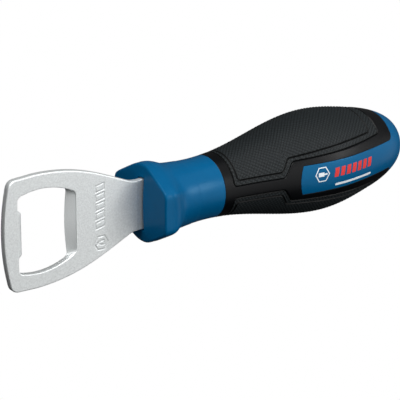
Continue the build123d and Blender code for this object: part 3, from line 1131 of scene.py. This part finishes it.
def rectangle_patch(skin, x, y, length, width, slant=0.0):
    """A rectangle about (x, y), its far side moved along x by slant."""
    u, v = np.meshgrid(PATCH_PLACES, PATCH_PLACES, indexing="ij")
    return ink_patch(skin, x + u * length + v * slant, y + v * width)


def ring_patch(skin, x, y, radius, line):
    """A six-sided ring: radius times the apothem over the cosine within each side."""
    turn = RING_TURNS[None, :]
    side = np.cos(math.pi / 6) / np.cos((turn + math.pi / 6) % (math.pi / 3) - math.pi / 6)
    reach = np.linspace(radius, radius - line, RING_ROWS)[:, None] * side
    return ink_patch(skin, x + reach * np.sin(turn), y + reach * np.cos(turn))


def bar_patch(skin, x, y, length, width):
    """A straight bar with round ends: its half width falls as a circle at each end."""
    end = np.cos(BAR_TURNS)[:, None] * length / 2
    inside = np.clip((np.abs(end) - (length - width) / 2) / (width / 2), 0, 1)
    half = np.sqrt(1 - inside**2) * width / 2
    v = np.linspace(-1, 1, BAR_ROWS)[None, :]
    return ink_patch(skin, x + length / 2 - end + 0 * v, y + half * v)


def gathered(parts):
    """Several point and face lists as one."""
    points, faces, base = [], [], 0
    for part_points, part_faces in parts:
        points.append(part_points)
        faces += [[corner + base for corner in face] for face in part_faces]
        base += len(part_points)
    return np.concatenate(points), faces


# ---------------------------------------------------------------- finishes


class Nodes:
    """Adds and joins the nodes of one tree, which it empties first."""

    def __init__(self, tree):
        self.tree = tree
        self.tree.nodes.clear()

    def add(self, kind, values=None, **settings):
        """A node of the kind, with settings and input values."""
        node = self.tree.nodes.new(kind)
        for key, value in settings.items():
            setattr(node, key, value)
        for socket, value in (values or {}).items():
            node.inputs[socket].default_value = value
        return node

    def join(self, source, output, target, socket):
        """Joins an output to an input."""
        self.tree.links.new(source.outputs[output], target.inputs[socket])


def new_group(name, inputs, outputs):
    """A shader node group with named inputs (name, kind, default) and outputs."""
    group = bpy.data.node_groups.new(name, "ShaderNodeTree")
    for socket, kind, default in inputs:
        made = group.interface.new_socket(name=socket, in_out="INPUT", socket_type=kind)
        if default is not None:
            made.default_value = default
    for socket, kind in outputs:
        group.interface.new_socket(name=socket, in_out="OUTPUT", socket_type=kind)
    nodes = Nodes(group)
    return group, nodes, nodes.add("NodeGroupInput"), nodes.add("NodeGroupOutput")


def grain_group():
    """Fine surface grain: noise of the given scale raises the surface, and with a
    coarser noise it spreads the roughness about its middle value."""
    group, nodes, given, result = new_group(
        "surface_grain",
        [
            ("Scale", "NodeSocketFloat", 900.0), ("Height", "NodeSocketFloat", 0.00003),
            ("Roughness", "NodeSocketFloat", 0.45), ("Spread", "NodeSocketFloat", 0.1),
        ],
        [("Roughness", "NodeSocketFloat"), ("Normal", "NodeSocketVector")],
    )
    place = nodes.add("ShaderNodeTexCoord")
    noise = nodes.add("ShaderNodeTexNoise", {"Detail": 3.0, "Roughness": 0.6})
    nodes.join(place, "Object", noise, "Vector")
    nodes.join(given, "Scale", noise, "Scale")
    bump = nodes.add("ShaderNodeBump", {"Strength": 1.0})
    nodes.join(given, "Height", bump, "Distance")
    nodes.join(noise, "Fac", bump, "Height")
    nodes.join(bump, "Normal", result, "Normal")
    wide = nodes.add("ShaderNodeTexNoise", {"Scale": 60.0, "Detail": 4.0, "Roughness": 0.55})
    nodes.join(place, "Object", wide, "Vector")
    both = nodes.add("ShaderNodeMath", operation="ADD")
    nodes.join(noise, "Fac", both, 0)
    nodes.join(wide, "Fac", both, 1)
    centred = nodes.add("ShaderNodeMath", {1: 1.0}, operation="SUBTRACT")
    nodes.join(both, "Value", centred, 0)
    spread = nodes.add("ShaderNodeMath", operation="MULTIPLY_ADD", use_clamp=True)
    nodes.join(centred, "Value", spread, 0)
    nodes.join(given, "Spread", spread, 1)
    nodes.join(given, "Roughness", spread, 2)
    nodes.join(spread, "Value", result, "Roughness")
    return group


def tint_group():
    """Colour drift: noise of the given scale blends the base colour towards a
    second one, up to the given amount."""
    group, nodes, given, result = new_group(
        "colour_drift",
        [
            ("Colour", "NodeSocketColor", None), ("Second", "NodeSocketColor", None),
            ("Scale", "NodeSocketFloat", 40.0), ("Amount", "NodeSocketFloat", 0.3),
        ],
        [("Colour", "NodeSocketColor")],
    )
    place = nodes.add("ShaderNodeTexCoord")
    noise = nodes.add("ShaderNodeTexNoise", {"Detail": 5.0, "Roughness": 0.65})
    nodes.join(place, "Object", noise, "Vector")
    nodes.join(given, "Scale", noise, "Scale")
    ramp = nodes.add("ShaderNodeMapRange", {"From Min": 0.35, "From Max": 0.65})
    nodes.join(noise, "Fac", ramp, "Value")
    share = nodes.add("ShaderNodeMath", operation="MULTIPLY", use_clamp=True)
    nodes.join(ramp, "Result", share, 0)
    nodes.join(given, "Amount", share, 1)
    mix = nodes.add("ShaderNodeMix", data_type="RGBA")
    nodes.join(share, "Value", mix, 0)
    nodes.join(given, "Colour", mix, 6)
    nodes.join(given, "Second", mix, 7)
    nodes.join(mix, 2, result, "Colour")
    return group


def scaled(colour, factor):
    """A colour made lighter or darker, with full alpha."""
    return tuple(min(1.0, part * factor) for part in colour[:3]) + (1.0,)


def finish_material(name, colour, second, drift, grain, fixed, mark=None):
    """A material from the shared groups. drift is (scale, amount), grain is (scale,
    height, roughness, spread), fixed are values set on the shader itself, and mark
    is (attribute, colour) for a colour that a piece's own attribute brings out."""
    material = bpy.data.materials.new(name)
    material.use_nodes = True
    nodes = Nodes(material.node_tree)
    output = nodes.add("ShaderNodeOutputMaterial")
    shader = nodes.add("ShaderNodeBsdfPrincipled", fixed)
    nodes.join(shader, "BSDF", output, "Surface")
    tint = nodes.add("ShaderNodeGroup", node_tree=bpy.data.node_groups["colour_drift"])
    tint.inputs["Colour"].default_value = scaled(colour, 1)
    tint.inputs["Second"].default_value = second
    tint.inputs["Scale"].default_value, tint.inputs["Amount"].default_value = drift
    texture = nodes.add("ShaderNodeGroup", node_tree=bpy.data.node_groups["surface_grain"])
    for socket, value in zip(("Scale", "Height", "Roughness", "Spread"), grain):
        texture.inputs[socket].default_value = value
    nodes.join(texture, "Roughness", shader, "Roughness")
    nodes.join(texture, "Normal", shader, "Normal")
    if mark is None:
        nodes.join(tint, "Colour", shader, "Base Color")
        return material
    attribute = nodes.add("ShaderNodeAttribute", attribute_name=mark[0])
    mix = nodes.add("ShaderNodeMix", {7: mark[1]}, data_type="RGBA")
    nodes.join(attribute, "Fac", mix, 0)
    nodes.join(tint, "Colour", mix, 6)
    nodes.join(mix, 2, shader, "Base Color")
    return material


# each finish: its colour, how bright the second colour is beside it, the drift, the
# grain, the shader's own values, and the mark with its colour and brightness
FINISHES = {
    "satin_blue_plastic": (
        "blue", 0.86, (55.0, 0.6), (2600.0, 0.000005, 0.3, 0.05),
        {"Specular IOR Level": 0.22, "Specular Tint": (0.35, 0.75, 1.0, 1.0)}, None,
    ),
    "satin_soft_grip": (
        "black", 1.35, (70.0, 0.5), (3200.0, 0.000012, 0.36, 0.1),
        {"Specular IOR Level": 0.14}, None,
    ),
    # the textured grip's mark is a painted highlight: the tops of its texture points are coloured
    # lighter, as if lit
    "matte_textured_grip": (
        "textured", 0.8, (80.0, 0.5), (3200.0, 0.00002, 0.5, 0.12),
        {"Specular IOR Level": 0.18}, ("crest", "crest", 1.0),
    ),
    "tumbled_steel": (
        "steel", 0.84, (1500.0, 0.8), (2300.0, 0.00007, 0.62, 0.14),
        {"Metallic": 1.0}, ("worn", "steel", 1.1),
    ),
    "matte_white_ink": (
        "white_ink", 0.85, (300.0, 0.5), (2600.0, 0.00001, 0.5, 0.1),
        {"Specular IOR Level": 0.4}, None,
    ),
    "matte_red_ink": (
        "red_ink", 0.75, (300.0, 0.6), (2600.0, 0.00001, 0.5, 0.1),
        {"Specular IOR Level": 0.4}, None,
    ),
}


def finishes(context):
    """The finishes, made once and looked up afterwards."""
    if "satin_blue_plastic" in bpy.data.materials:
        return bpy.data.materials
    colours = context.scene.opener_colours
    grain_group()
    tint_group()
    for name, (colour, second, drift, grain, fixed, mark) in FINISHES.items():
        base = getattr(colours, colour)
        if mark:
            mark = (mark[0], scaled(getattr(colours, mark[1]), mark[2]))
        finish_material(name, base, scaled(base, second), drift, grain, fixed, mark)
    return bpy.data.materials


def handed_over(piece, slot, *nodes):
    """Puts a piece on the frame: it rides on the body and stands for its CAD nodes,
    which it hides. The slot is not used."""
    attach(piece, "root")
    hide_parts(*nodes)


# ---------------------------------------------------------------- operators


CRISP_HARD = 32
CRISP_SOFT = 35
CRISP_TEXTURE = 50
CRISP_INK = 40


class OPENER_OT_core(bpy.types.Operator):
    """Build the hard plastic core: bolster, waist, tongues and end cap"""

    bl_idname = "opener.core"
    bl_label = "Hard plastic core"

    def execute(self, context):
        sizes = context.scene.opener_handle
        points, quads = bolster_body(sizes)
        points, faces = gathered([(points, faces_of(quads)), tongue_and_cap(sizes)])
        finish = finishes(context)["satin_blue_plastic"]
        piece = add_piece("moulded_core", points, faces, finish, CRISP_HARD)
        handed_over(piece, "blue_plastic", "handle_core")
        return {"FINISHED"}


class OPENER_OT_sleeve(bpy.types.Operator):
    """Build the smooth soft grip"""

    bl_idname = "opener.sleeve"
    bl_label = "Soft grip"

    def execute(self, context):
        points, faces = sleeve_shell(context.scene.opener_handle)
        finish = finishes(context)["satin_soft_grip"]
        piece = add_piece("soft_sleeve", points, faces, finish, CRISP_SOFT)
        handed_over(piece, "soft_grip", "grip_sleeve")
        return {"FINISHED"}


class OPENER_OT_pads(bpy.types.Operator):
    """Build the two textured pads"""

    bl_idname = "opener.pads"
    bl_label = "Textured pads"

    def execute(self, context):
        finish = finishes(context)["matte_textured_grip"]
        for side, name in ((1, "left"), (-1, "right")):
            points, faces, crest = pad_slab(context.scene.opener_handle, side)
            # each pad carries its texture height, which its finish turns into a painted highlight on
            # the points' tops
            piece = add_piece(
                f"textured_pad_{name}", points, faces, finish, CRISP_TEXTURE, {"crest": crest}
            )
            handed_over(piece, "textured_grip", f"grip_pad_{name}")
        return {"FINISHED"}


class OPENER_OT_blade(bpy.types.Operator):
    """Build the stamped steel blade"""

    bl_idname = "opener.blade"
    bl_label = "Steel blade"

    def execute(self, context):
        sizes = context.scene.opener_blade
        columns = np.linspace(0, 1, BLADE_COLUMNS)
        parts = [blade_head(sizes, columns), blade_shank(sizes, columns), blade_lip(sizes)]
        points, faces = gathered([(points, faces_of(quads)) for points, quads, _ in parts])
        worn = np.concatenate([part[2] for part in parts])
        used, place = np.unique(np.concatenate(faces), return_inverse=True)
        ends = np.cumsum([len(face) for face in faces])
        faces = [run.tolist() for run in np.split(place.reshape(-1), ends[:-1])]
        piece = add_piece(
            "steel_blade", points[used], faces, finishes(context)["tumbled_steel"], CRISP_HARD,
            {"worn": worn[used]},
        )
        handed_over(piece, "steel", "opener_blade")
        return {"FINISHED"}


class OPENER_OT_prints(bpy.types.Operator):
    """Build the printed marks on the tongue"""

    bl_idname = "opener.prints"
    bl_label = "Printed marks"

    def execute(self, context):
        skin = Skin(context.scene.opener_handle)
        x, y = BADGE_MIDDLE
        badge = [ring_patch(skin, x, y, BADGE_RADIUS, BADGE_LINE)]
        badge += [
            rectangle_patch(skin, x + offset, y, length, width)
            for offset, length, width in BOTTLE_PARTS
        ]
        stripes = [
            rectangle_patch(
                skin, STRIPES_START + STRIPE_WIDTH / 2 + index * STRIPE_PITCH, STRIPES_Y,
                STRIPE_WIDTH, STRIPE_HEIGHT, STRIPE_SLANT,
            )
            for index in range(STRIPES_COUNT)
        ]
        line = [bar_patch(skin, LINE_START, LINE_Y, LINE_LENGTH, LINE_WIDTH)]
        for name, parts, ink in (
            ("badge", badge, "white_ink"), ("stripe", stripes, "red_ink"),
            ("line", line, "white_ink"),
        ):
            points, faces = gathered(parts)
            finish = finishes(context)[f"matte_{ink}"]
            piece = add_piece(f"{name}_ink", points, faces, finish, CRISP_INK)
            handed_over(piece, ink, f"{name}_print")
        return {"FINISHED"}


def soft_light(name, place, target, size, power):
    """A square soft light at place that faces target."""
    data = bpy.data.lights.new(name, "AREA")
    data.shape = "SQUARE"
    data.size = size
    data.energy = power
    light = bpy.data.objects.new(name, data)
    light.location = place
    light.rotation_mode = "QUATERNION"
    light.rotation_quaternion = (Vector(target) - Vector(place)).to_track_quat("-Z", "Y")
    bpy.context.scene.collection.objects.link(light)


WHITE = (1.0, 1.0, 1.0, 1.0)
BRIGHT_SIDE = (0.0, 0.8, 0.6)
# where a smooth rise begins and ends, and its values there
ROOM_RISE = (0.08, 0.9, 0.0, 1.0)
FLOOR_RISE = (-0.03, 0.06, 0.03, 0.15)
LIGHT_TARGET = (0.0, 0.0, 0.02)
SENSOR_WIDTH = 36.0
CLIP_START = 0.01
# each light: where it stands and the side of its square
LIGHTS = {
    "side": ((-0.25, 0.8, 0.2), 0.5),
    "top": ((0.3, -0.08, 0.75), 0.7),
    "strobe": ((0.6, 0.27, 0.64), 0.3),
    "front": ((-0.7, 0.54, 0.22), 0.1),
    "rear": ((0.8, -0.1, 0.3), 0.5),
}


def smooth_rise(nodes, source, output, rise):
    """A node that carries an output smoothly from one value to another over a range."""
    limits = dict(zip(("From Min", "From Max", "To Min", "To Max"), rise))
    level = nodes.add("ShaderNodeMapRange", limits, interpolation_type="SMOOTHSTEP")
    nodes.join(source, output, level, "Value")
    return level


def seen_white(nodes, lit, white, output):
    """Joins two shaders to the output: white for the camera, lit for everything else."""
    path = nodes.add("ShaderNodeLightPath")
    mix = nodes.add("ShaderNodeMixShader")
    nodes.join(path, "Is Camera Ray", mix, 0)
    nodes.join(lit, 0, mix, 1)
    nodes.join(white, 0, mix, 2)
    nodes.join(mix, "Shader", output, "Surface")


def studio_world():
    """White behind the object; for light and reflections, white high on the left
    pad's side, falling to black low down and on the right pad's side."""
    world = bpy.data.worlds.new("studio")
    world.use_nodes = True
    nodes = Nodes(world.node_tree)
    output = nodes.add("ShaderNodeOutputWorld")
    place = nodes.add("ShaderNodeTexCoord")
    towards = nodes.add("ShaderNodeVectorMath", {1: BRIGHT_SIDE}, operation="DOT_PRODUCT")
    nodes.join(place, "Generated", towards, 0)
    level = smooth_rise(nodes, towards, "Value", ROOM_RISE)
    room = nodes.add("ShaderNodeBackground", {"Color": WHITE})
    nodes.join(level, "Result", room, "Strength")
    white = nodes.add("ShaderNodeBackground", {"Color": WHITE, "Strength": 1.0})
    seen_white(nodes, room, white, output)
    bpy.context.scene.world = world


def floor_material():
    """Pale floor that looks evenly white, but throws little light back on the left
    pad's side and next to none on the right pad's side."""
    material = bpy.data.materials.new("pale_floor")
    material.use_nodes = True
    nodes = Nodes(material.node_tree)
    output = nodes.add("ShaderNodeOutputMaterial")
    place = nodes.add("ShaderNodeTexCoord")
    split = nodes.add("ShaderNodeSeparateXYZ")
    nodes.join(place, "Object", split, "Vector")
    level = smooth_rise(nodes, split, "Y", FLOOR_RISE)
    dull = nodes.add("ShaderNodeBsdfDiffuse")
    nodes.join(level, "Result", dull, "Color")
    white = nodes.add("ShaderNodeEmission", {"Color": WHITE, "Strength": 1.0})
    seen_white(nodes, dull, white, output)
    return material


def camera_place(stage):
    """Place and turn of the camera: back from the aim by the distance, in the
    direction of azimuth and elevation, and rolled about its line of sight."""
    level = math.cos(stage.elevation)
    back = Vector((
        math.sin(stage.azimuth) * level, -math.cos(stage.azimuth) * level,
        math.sin(stage.elevation),
    ))
    right = (-back).cross(Vector((0, 0, 1))).normalized()
    up = right.cross(-back)
    up = up * math.cos(stage.roll) + right * math.sin(stage.roll)
    right = (-back).cross(up)
    turn = Matrix((right, up, back)).transposed()
    return Matrix.Translation(Vector(stage.aim) + back * stage.distance) @ turn.to_4x4()


class OPENER_OT_stage(bpy.types.Operator):
    """Set up the floor, the soft lights and the camera"""

    bl_idname = "opener.stage"
    bl_label = "Floor, lights and camera"

    def execute(self, context):
        stage = context.scene.opener_stage
        half = stage.floor_size / 2
        mesh = bpy.data.meshes.new("floor")
        corners = [(-half, -half, 0), (half, -half, 0), (half, half, 0), (-half, half, 0)]
        mesh.from_pydata(corners, [], [(0, 1, 2, 3)])
        mesh.materials.append(floor_material())
        floor = bpy.data.objects.new("floor", mesh)
        context.scene.collection.objects.link(floor)
        studio_world()
        for name, (place, size) in LIGHTS.items():
            power = getattr(stage, f"{name}_power")
            soft_light(f"{name}_light", place, LIGHT_TARGET, size, power)
        lens = bpy.data.cameras.new("camera")
        lens.lens = stage.lens
        lens.sensor_width = SENSOR_WIDTH
        lens.clip_start = CLIP_START
        camera = bpy.data.objects.new("camera", lens)
        camera.matrix_world = camera_place(stage)
        context.scene.collection.objects.link(camera)
        context.scene.camera = camera
        context.scene.view_settings.view_transform = "Standard"
        return {"FINISHED"}


class OPENER_PT_panel(bpy.types.Panel):
    """Lists the pieces and the stage"""

    bl_idname = "OPENER_PT_panel"
    bl_label = "Bottle opener"
    bl_space_type = "VIEW_3D"
    bl_region_type = "UI"
    bl_category = "Opener"

    def draw(self, context):
        scene = context.scene
        for title, group in (
            ("Handle", scene.opener_handle), ("Blade", scene.opener_blade),
            ("Colours", scene.opener_colours), ("Stage", scene.opener_stage),
        ):
            section = self.layout.box()
            section.label(text=title)
            for name in group.__annotations__:
                section.prop(group, name)
        for operator in STEPS:
            self.layout.operator(operator.bl_idname)


STEPS = (
    OPENER_OT_blade, OPENER_OT_core, OPENER_OT_sleeve, OPENER_OT_pads, OPENER_OT_prints,
    OPENER_OT_stage,
)
GROUPS = {
    "opener_handle": OpenerHandleSizes,
    "opener_blade": OpenerBladeSizes,
    "opener_colours": OpenerColours,
    "opener_stage": OpenerStage,
}


def register():
    """Registers the classes and hangs the property groups on the scene."""
    for made in (*GROUPS.values(), *STEPS, OPENER_PT_panel):
        bpy.utils.register_class(made)
    for name, group in GROUPS.items():
        setattr(bpy.types.Scene, name, PointerProperty(type=group))


def unregister():
    """Takes the property groups off the scene and unregisters the classes."""
    for name in GROUPS:
        delattr(bpy.types.Scene, name)
    for made in (OPENER_PT_panel, *reversed(STEPS), *GROUPS.values()):
        bpy.utils.unregister_class(made)


def main():
    register()
    bpy.ops.opener.blade()
    bpy.ops.opener.core()
    bpy.ops.opener.sleeve()
    bpy.ops.opener.pads()
    bpy.ops.opener.prints()
    bpy.ops.opener.stage()


if __name__ == "__main__":
    main()
